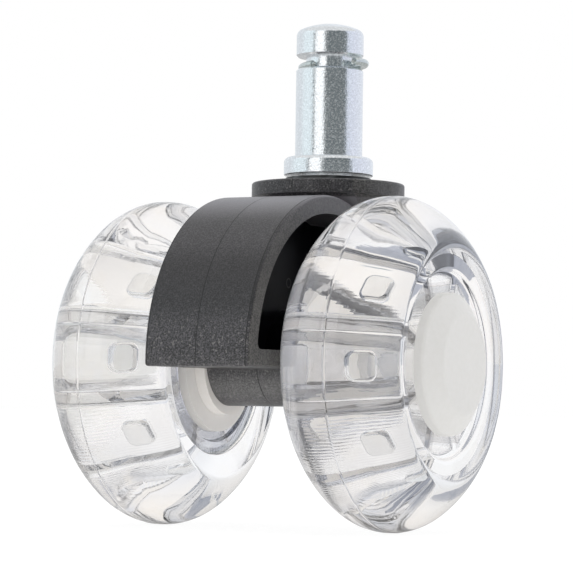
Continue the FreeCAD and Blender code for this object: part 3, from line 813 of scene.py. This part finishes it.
def make_centre(side, clear, joined):
    """Clear wheel centre: sleeve, ribs, rim and outer wall, with a recess in each pocket's wall."""
    name = side + "_wheel_core"
    bond_radius = half_height(name)
    seat, face = span(name, side)
    corners = [
        (BORE, seat, 0.15 * MM),
        (half_height(side + "_core_cover"), seat, 0, JOINED),
        (bond_radius, seat, 0, JOINED),
        (bond_radius, face, 0.05 * MM),
        (MOAT_RIM, face, 0.6 * MM),
        (MOAT_STEP, MOAT_FLOOR, 0.35 * MM),
        (CAP_SOCKET, MOAT_FLOOR, 0.1 * MM),
        (CAP_SOCKET, HUB_END),
        (BORE, HUB_END, 0.1 * MM),
    ]
    piece = lathe(side + "_wheel_centre", rounded(corners), [clear, joined])
    cut(piece, ring_of(pocket_cutter(seat - MM, POCKET_END), POCKET_COUNT), [clear])
    cut(piece, ring_of(key_cutter(), POCKET_COUNT), [clear])
    piece.data = in_order(piece.data)
    smooth(piece.data)
    return settle(piece, wheel_frame(side), side + "_wheel", name)


def make_cover(side, clear):
    """Clear dished ring that closes the pockets on the inner side."""
    name = side + "_core_cover"
    radius = half_height(name) - GAP
    inner = half_height(side + "_hub_bush") + GAP
    face, seat = span(name, side)
    seat -= GAP
    corners = [
        (inner, face + DISH_RISE, 0.1 * MM),
        (DISH_FLOOR, face + DISH_RISE, 0.3 * MM),
        (DISH_RIM, face, 0.3 * MM),
        (radius, face, 0.15 * MM),
        (radius, seat, 0.05 * MM),
        (inner, seat, 0.05 * MM),
    ]
    piece = lathe(side + "_pocket_cover", rounded(corners), [clear])
    return settle(piece, wheel_frame(side), side + "_wheel", name)


# --------------------------------------------------------------------------- friction ring

RING_RADIUS = 5.16 * MM          # centre line of the loose ring
RING_SHIFT = 0.6 * MM            # how far it hangs to one side
RING_TILT = math.radians(4.5)    # that side hangs lower
RING_FACING = math.radians(207)  # direction that the opening faces
RING_GAP = math.radians(80)
RING_STEPS = 96
END_STEPS = 7
WIRE_SEGMENTS = 32


def wire_stations(thick):
    """Angle around the ring and wire radius at each station, from one domed end to the other."""
    dome = thick / RING_RADIUS
    first = RING_GAP / 2
    last = 2 * math.pi - first
    end = []
    for step in range(END_STEPS):
        lean = math.pi / 2 * (step + 0.5) / END_STEPS
        end.append((dome * (1 - math.sin(lean)), thick * math.cos(math.pi / 2 - lean)))
    stations = [(first + angle, radius) for angle, radius in end]
    for step in range(RING_STEPS + 1):
        stations.append((first + dome + (last - first - 2 * dome) * step / RING_STEPS, thick))
    stations += [(last - angle, radius) for angle, radius in reversed(end)]
    return stations


def make_ring(wire):
    """Loose spring ring in the groove: round wire with domed ends, hanging to one side."""
    low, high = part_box("friction_ring")
    thick = (high.z - low.z) / 2
    shape = bmesh.new()
    rings = []
    for angle, radius in wire_stations(thick):
        out = Vector((math.cos(angle), math.sin(angle), 0))
        ring = []
        for step in range(WIRE_SEGMENTS):
            turn = 2 * math.pi * step / WIRE_SEGMENTS
            height = Vector((0, 0, radius * math.sin(turn)))
            ring.append(shape.verts.new(out * (RING_RADIUS + radius * math.cos(turn)) + height))
        rings.append(ring)
    for ring, after in zip(rings, rings[1:]):
        for step in range(WIRE_SEGMENTS):
            turn = (step + 1) % WIRE_SEGMENTS
            shape.faces.new((ring[step], ring[turn], after[turn], after[step]))
    shape.faces.new(rings[0])
    shape.faces.new(list(reversed(rings[-1])))
    bmesh.ops.recalc_face_normals(shape, faces=shape.faces)
    piece = finish_mesh("grip_ring", shape, [wire])
    facing = Vector((math.cos(RING_FACING), math.sin(RING_FACING), 0))
    aside = Vector((-facing.y, facing.x, 0))
    tilt = Matrix.Rotation(RING_TILT, 4, facing)
    spot = aside * RING_SHIFT + Vector((0, 0, (low.z + high.z) / 2))
    transform = Matrix.Translation(spot) @ tilt @ Matrix.Rotation(RING_FACING, 4, "Z")
    return settle(piece, transform, "stem", "friction_ring")


# ----------------------------------------------------------------------------------- stage

CAMERA_TURN = math.radians(-61.67)
CAMERA_DISTANCE = 421.0 * MM
CAMERA_HEIGHT = -41.1 * MM
CAMERA_YAW = math.radians(0.134)
CAMERA_PITCH = math.radians(2.623)
CAMERA_ROLL = math.radians(0.857)
CAMERA_LENS = 167.46
TOWARDS = Vector((math.sin(CAMERA_TURN), -math.cos(CAMERA_TURN), 0))     # from the caster to the camera
CAMERA_RIGHT = Vector((0, 0, 1)).cross(TOWARDS)


def make_camera():
    """Long lens, a little below the axle, looking slightly up."""
    spot = (middle("left_tyre") + middle("right_tyre")) / 2 + TOWARDS * CAMERA_DISTANCE
    spot.z = CAMERA_HEIGHT
    up = Vector((0, 0, 1))
    yaw = Quaternion(up, -CAMERA_YAW)
    forward = yaw @ -TOWARDS
    right = yaw @ CAMERA_RIGHT
    tilt = Quaternion(right, CAMERA_PITCH)
    forward = tilt @ forward
    up = tilt @ up
    roll = Quaternion(forward, -CAMERA_ROLL)
    right = roll @ right
    up = roll @ up
    data = bpy.data.cameras.new("camera")
    data.lens = CAMERA_LENS
    data.sensor_width = 36
    data.clip_start = 0.01
    data.clip_end = 20
    camera = bpy.data.objects.new("camera", data)
    basis = Matrix((right, up, -forward)).transposed().to_4x4()
    camera.matrix_world = Matrix.Translation(spot) @ basis
    bpy.context.scene.collection.objects.link(camera)
    bpy.context.scene.camera = camera


# The studio around the horizon, as seen in bright metal: degrees to the camera's right, colour.
SURROUND = [
    (-180, (0.80, 0.83, 0.86, 1)),
    (-115, (0.78, 0.81, 0.84, 1)),
    (-95, (0.88, 0.96, 0.99, 1)),
    (-60, (0.88, 0.96, 0.99, 1)),
    (-58, (0.06, 0.08, 0.09, 1)),
    (-54, (0.06, 0.08, 0.09, 1)),
    (-52, (1.25, 1.25, 1.25, 1)),
    (-20, (1.25, 1.25, 1.25, 1)),
    (-18, (0.17, 0.19, 0.195, 1)),
    (59, (0.17, 0.19, 0.195, 1)),
    (61, (0.74, 0.78, 0.88, 1)),
    (90, (0.78, 0.80, 0.90, 1)),
    (180, (0.86, 0.89, 0.93, 1)),
]
SURROUND_END = (math.sin(math.radians(36)), math.sin(math.radians(44)))      # steeper than the ramp
OVERHEAD = 0.80                              # brightness of the ceiling and the ground in metal
OVERHEAD_SOFT = 4.6                          # brightness straight overhead for matt faces

# The studio as seen through a clear wheel.
BEYOND = (1.0, 1.0, 1.0, 1)                  # nearly straight on
ASIDE = (0.86, 0.87, 0.905, 1)               # bent far aside
STEEP = (1.0, 0.965, 0.925, 1)               # bent up or down
CAMERA_SIDE = (0.50, 0.52, 0.58, 1)          # bent back towards the camera
CAMERA_PATCH = (math.cos(math.radians(62)), math.cos(math.radians(18)))

# The floor's own light, by the kind of ray that meets it.
FLOOR_IN_METAL = grey(0.45)
FLOOR_FOR_MATT = grey(2.4)
FLOOR_THROUGH = (0.95, 0.93, 0.915, 1)
FLOOR_SEEN = grey(1.06)
FLOOR_GLOW = 0.9                             # share of that light in the floor's look
FLOOR_SIZE = 8.0                             # half the floor's width


def ramp(tree, value, stops):
    """A colour ramp over value, from stops (place from 0 to 1, colour)."""
    made = node(tree, "ShaderNodeValToRGB", {0: value})
    elements = made.color_ramp.elements
    while len(elements) < len(stops):
        elements.new(0.5)
    for element, (spot, colour) in zip(elements, stops):
        element.position = spot
        element.color = colour
    return made.outputs["Color"]


def seen_in_metal(tree, rays, front, aside, height):
    """The studio as metals and matt faces see it: bands around the horizon, a lit ceiling above."""
    turn = maths(tree, "ARCTAN2", aside, front)
    share = node(tree, "ShaderNodeMapRange", {0: turn, 1: -math.pi, 2: math.pi, 3: 0.0, 4: 1.0}).outputs[0]
    around = ramp(tree, share, [(degrees / 360 + 0.5, colour) for degrees, colour in SURROUND])
    soft = rays["Is Diffuse Ray"]
    ceiling = smooth_step(tree, height, 0.75, 1.0, OVERHEAD,
                          smooth_step(tree, soft, 0.0, 1.0, OVERHEAD, OVERHEAD_SOFT))
    above_all = node(tree, "ShaderNodeCombineXYZ", {"X": ceiling, "Y": ceiling, "Z": ceiling}).outputs[0]
    steep = maths(tree, "ABSOLUTE", height)
    return mix_colour(tree, above(tree, steep, SURROUND_END), around, above_all)


def seen_in_glass(tree, front, height):
    """The studio as seen through a clear wheel, greyer the more the light is bent."""
    patch = above(tree, front, CAMERA_PATCH)
    return layered(tree, BEYOND, [
        (smooth_step(tree, front, -0.97, 0.1), ASIDE),
        (smooth_step(tree, maths(tree, "ABSOLUTE", height), 0.35, 0.8), STEEP),
        (product(tree, patch, 0.5), CAMERA_SIDE),
    ])


def make_world():
    """White studio, darker on the camera's side, brighter overhead."""
    world = bpy.data.worlds.new("studio")
    world.use_nodes = True
    tree = world.node_tree
    tree.nodes.clear()
    out = tree.nodes.new("ShaderNodeOutputWorld")
    rays = node(tree, "ShaderNodeLightPath").outputs
    direction = node(tree, "ShaderNodeTexCoord").outputs["Generated"]
    front = vectors(tree, "DOT_PRODUCT", direction, TOWARDS)
    aside = vectors(tree, "DOT_PRODUCT", direction, CAMERA_RIGHT)
    height = node(tree, "ShaderNodeSeparateXYZ", {0: direction}).outputs["Z"]
    colour = layered(tree, seen_in_metal(tree, rays, front, aside, height), [
        (rays["Is Transmission Ray"], seen_in_glass(tree, front, height)),
        (rays["Is Camera Ray"], grey(1)),
    ])
    background = node(tree, "ShaderNodeBackground", {"Color": colour, "Strength": 1.0})
    tree.links.new(background.outputs[0], out.inputs["Surface"])
    bpy.context.scene.world = world


def make_floor():
    """Plain white floor just under the wheels."""
    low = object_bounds()[0]
    shape = bmesh.new()
    bmesh.ops.create_grid(shape, x_segments=1, y_segments=1, size=FLOOR_SIZE)
    bmesh.ops.translate(shape, verts=shape.verts, vec=(0, 0, low.z - 0.01 * MM))
    made, tree, out = material("floor_white")
    diffuse = node(tree, "ShaderNodeBsdfDiffuse", {"Color": grey(0.9)})
    rays = node(tree, "ShaderNodeLightPath").outputs
    colour = layered(tree, FLOOR_IN_METAL, [
        (rays["Is Diffuse Ray"], FLOOR_FOR_MATT),
        (rays["Is Transmission Ray"], FLOOR_THROUGH),
        (rays["Is Camera Ray"], FLOOR_SEEN),
    ])
    glow = node(tree, "ShaderNodeEmission", {"Color": colour, "Strength": 1.0})
    mixed = node(tree, "ShaderNodeMixShader", {0: FLOOR_GLOW, 1: diffuse.outputs[0], 2: glow.outputs[0]})
    tree.links.new(mixed.outputs[0], out.inputs["Surface"])
    finish_mesh("floor", shape, [made])


# ----------------------------------------------------------------------------------- build

def paint(node_name, made):
    """Gives a carried-over CAD node its material."""
    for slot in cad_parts[node_name].material_slots:
        slot.material = made


CLEAR_INDEX = 1.50               # refractive index of both clear plastics

nylon = black_nylon()
zinc = zinc_plate("zinc_plate_bright", (0.85, 0.88, 0.905), 0.09, 0.008 * MM)
wire = zinc_plate("plated_wire", (0.66, 0.71, 0.70), 0.18, 0.003 * MM)
washer = zinc_plate("plated_sheet", (0.80, 0.81, 0.82), 0.22, 0.003 * MM)
steel = zinc_plate("ground_steel", (0.62, 0.62, 0.63), 0.25, 0.003 * MM)
oiled = oiled_steel("oiled_spring_steel")
cap_white = milky_plastic("milky_cap", (0.16, 0.158, 0.154),
                          roughness=0.5, scatter=0.3, glow=3.1, inner_glow=1.9)
hub_white = milky_plastic("white_acetal_hub", (0.50, 0.485, 0.47),
                          roughness=0.45, scatter=0.25, glow=0.2, inner_glow=0.95)
ring_white = milky_plastic("white_nylon_ring", (0.50, 0.48, 0.46),
                           roughness=0.45, scatter=0.2, glow=0.2, inner_glow=0.9)
bush_black = plain_plastic("black_acetal_bush", grey(0.03), 0.35)
tread_clear = clear_tread("clear_polyurethane", CLEAR_INDEX)
core_clear = {side: clear_centre("clear_polycarbonate_" + side, CLEAR_INDEX, WHEEL_TURN[side])
              for side in SIDES}
joined_clear = bond()

paint("stem", zinc)
paint("stem_retaining_ring", wire)
paint("housing", nylon)
paint("thrust_washer", oiled)
paint("swivel_bush", bush_black)
paint("axle_pin", steel)
make_ring(wire)
for side in SIDES:
    paint(side + "_inner_washer", ring_white)
    paint(side + "_outer_washer", washer)
    paint(side + "_axle_clip", wire)
    paint(side + "_hub_bush", hub_white)
    paint(side + "_hub_cap", cap_white)
    make_tread(side, tread_clear, joined_clear)
    make_centre(side, core_clear[side], joined_clear)
    make_cover(side, core_clear[side])

make_camera()
make_world()
make_floor()

scene = bpy.context.scene
scene.view_settings.view_transform = "Standard"
scene.cycles.use_denoising = True
scene.cycles.max_bounces = 32
scene.cycles.transmission_bounces = 32
scene.cycles.glossy_bounces = 12
scene.cycles.transparent_max_bounces = 64
